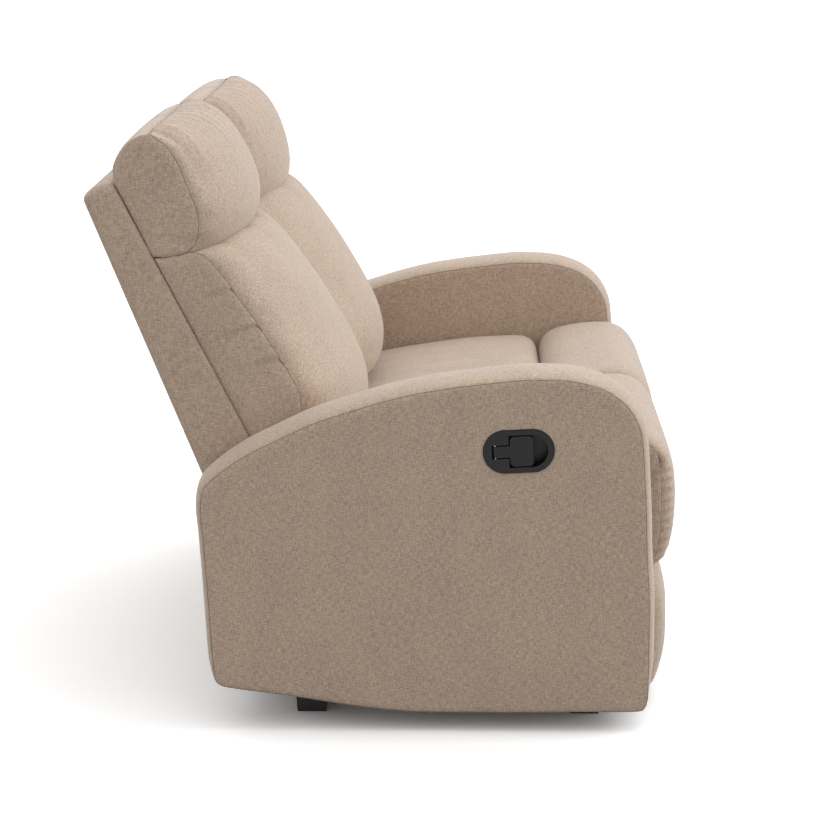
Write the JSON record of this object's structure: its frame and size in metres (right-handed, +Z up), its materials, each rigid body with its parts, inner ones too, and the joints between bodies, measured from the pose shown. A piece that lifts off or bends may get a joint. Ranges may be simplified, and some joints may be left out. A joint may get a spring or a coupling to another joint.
{
  "type": "two-seat reclining sofa",
  "caption": "Upholstered reclining sofa for two with curved arms, padded headrests, leaning backs, swing-out legrests and a release handle in each arm.",
  "frame": {"origin": "on the floor, at the middle of the closed sofa's box", "axes": "+Z up, the sofa faces -Y, +X towards the sitter's left"},
  "size_m": [1.306, 0.9969, 1.012],
  "materials": {
    "fabric": "fine heathered weave, matte",
    "timber": "planed softwood and plywood",
    "hardboard": "pressed board",
    "steel": "zinc plated",
    "black_steel": "black powder coat",
    "handle_plastic": "satin moulded",
    "foot_plastic": "matte moulded",
    "nylon": "natural nylon",
    "cable_sheath": "matte sheath"
  },
  "bodies": {
    "base": {"front_cross_beam": "timber", "rear_cross_beam": "timber", "seat_bearers": "timber", "glide_tracks": "steel", "feet": "foot_plastic", "rear_apron": "fabric", "arm_bolts": "steel", "right_arm_padding": "fabric", "right_arm_frame": "timber", "right_arm_panel": "hardboard", "right_handle_bezel": "handle_plastic", "right_handle_pin": "steel", "right_release_cable": "cable_sheath", "left_arm_padding": "fabric", "left_arm_frame": "timber", "left_arm_panel": "hardboard", "left_handle_bezel": "handle_plastic", "left_handle_pin": "steel", "left_release_cable": "cable_sheath"},
    "right_seat": {"right_seat_frame": "timber", "right_glide_shoes": "nylon", "right_seat_plates": "black_steel", "right_seat_pins": "steel", "right_seat_springs": "steel", "right_seat_cushion": "fabric", "right_seat_front_pad": "fabric", "right_knee_bend_pad": "fabric"},
    "right_back": {"right_back_shell": "fabric", "right_back_frame": "timber", "right_back_brackets": "black_steel", "right_back_cushion": "fabric", "right_headrest": "fabric"},
    "right_legrest": {"right_legrest_board": "timber", "right_legrest_upper_pad": "fabric", "right_legrest_lower_pad": "fabric", "right_legrest_brackets": "black_steel"},
    "right_stays": {"right_legrest_stays": "black_steel"},
    "right_couplers": {"right_legrest_couplers": "black_steel"},
    "right_flap": {"right_handle_flap": "handle_plastic"},
    "left_seat": {"left_seat_frame": "timber", "left_glide_shoes": "nylon", "left_seat_plates": "black_steel", "left_seat_pins": "steel", "left_seat_springs": "steel", "left_seat_cushion": "fabric", "left_seat_front_pad": "fabric", "left_knee_bend_pad": "fabric"},
    "left_back": {"left_back_shell": "fabric", "left_back_frame": "timber", "left_back_brackets": "black_steel", "left_back_cushion": "fabric", "left_headrest": "fabric"},
    "left_legrest": {"left_legrest_board": "timber", "left_legrest_upper_pad": "fabric", "left_legrest_lower_pad": "fabric", "left_legrest_brackets": "black_steel"},
    "left_stays": {"left_legrest_stays": "black_steel"},
    "left_couplers": {"left_legrest_couplers": "black_steel"},
    "left_flap": {"left_handle_flap": "handle_plastic"}
  },
  "joints": [
    {"name": "right_seat_glide", "type": "slide", "parent": "base", "child": "right_seat", "axis": [0, -1, 0], "range_m": [0, 0.07]},
    {"name": "right_back_recline", "type": "hinge", "parent": "right_seat", "child": "right_back", "pos_m": [-0.265, 0.2, 0.345], "axis": [-1, 0, 0], "range_deg": [0, 35]},
    {"name": "right_legrest_swing", "type": "hinge", "parent": "right_seat", "child": "right_legrest", "pos_m": [-0.265, -0.45, 0.43], "axis": [-1, 0, 0], "range_deg": [0, 78], "deforming": ["right_knee_bend_pad"]},
    {"name": "right_stay_swing", "type": "hinge", "parent": "right_seat", "child": "right_stays", "pos_m": [-0.265, -0.278, 0.274], "axis": [-1, 0, 0], "range_deg": [0, 78]},
    {"name": "right_coupler_swing", "type": "hinge", "parent": "right_stays", "child": "right_couplers", "pos_m": [-0.265, -0.216, 0.144], "axis": [-1, 0, 0], "range_deg": [-78, 0]},
    {"name": "right_flap_pull", "type": "hinge", "parent": "base", "child": "right_flap", "pos_m": [-0.6495, -0.18855, 0.48298], "axis": [0, -0.0523, -0.9986], "range_deg": [0, 35], "stiffness_Nm_per_rad": 0.4, "springref_deg": -11.46},
    {"name": "left_seat_glide", "type": "slide", "parent": "base", "child": "left_seat", "axis": [0, -1, 0], "range_m": [0, 0.07]},
    {"name": "left_back_recline", "type": "hinge", "parent": "left_seat", "child": "left_back", "pos_m": [0.265, 0.2, 0.345], "axis": [-1, 0, 0], "range_deg": [0, 35]},
    {"name": "left_legrest_swing", "type": "hinge", "parent": "left_seat", "child": "left_legrest", "pos_m": [0.265, -0.45, 0.43], "axis": [-1, 0, 0], "range_deg": [0, 78], "deforming": ["left_knee_bend_pad"]},
    {"name": "left_stay_swing", "type": "hinge", "parent": "left_seat", "child": "left_stays", "pos_m": [0.265, -0.278, 0.274], "axis": [-1, 0, 0], "range_deg": [0, 78]},
    {"name": "left_coupler_swing", "type": "hinge", "parent": "left_stays", "child": "left_couplers", "pos_m": [0.265, -0.216, 0.144], "axis": [-1, 0, 0], "range_deg": [-78, 0]},
    {"name": "left_flap_pull", "type": "hinge", "parent": "base", "child": "left_flap", "pos_m": [0.6495, -0.18855, 0.48298], "axis": [0, 0.0523, 0.9986], "range_deg": [0, 35], "stiffness_Nm_per_rad": 0.4, "springref_deg": -11.46}
  ],
  "couplings": [
    {"joint": "right_seat_glide", "follows": "right_back_recline", "m_per_rad": 0.11459},
    {"joint": "right_stay_swing", "follows": "right_legrest_swing", "ratio": 1},
    {"joint": "right_coupler_swing", "follows": "right_legrest_swing", "ratio": -1},
    {"joint": "left_seat_glide", "follows": "left_back_recline", "m_per_rad": 0.11459},
    {"joint": "left_stay_swing", "follows": "left_legrest_swing", "ratio": 1},
    {"joint": "left_coupler_swing", "follows": "left_legrest_swing", "ratio": -1}
  ]
}
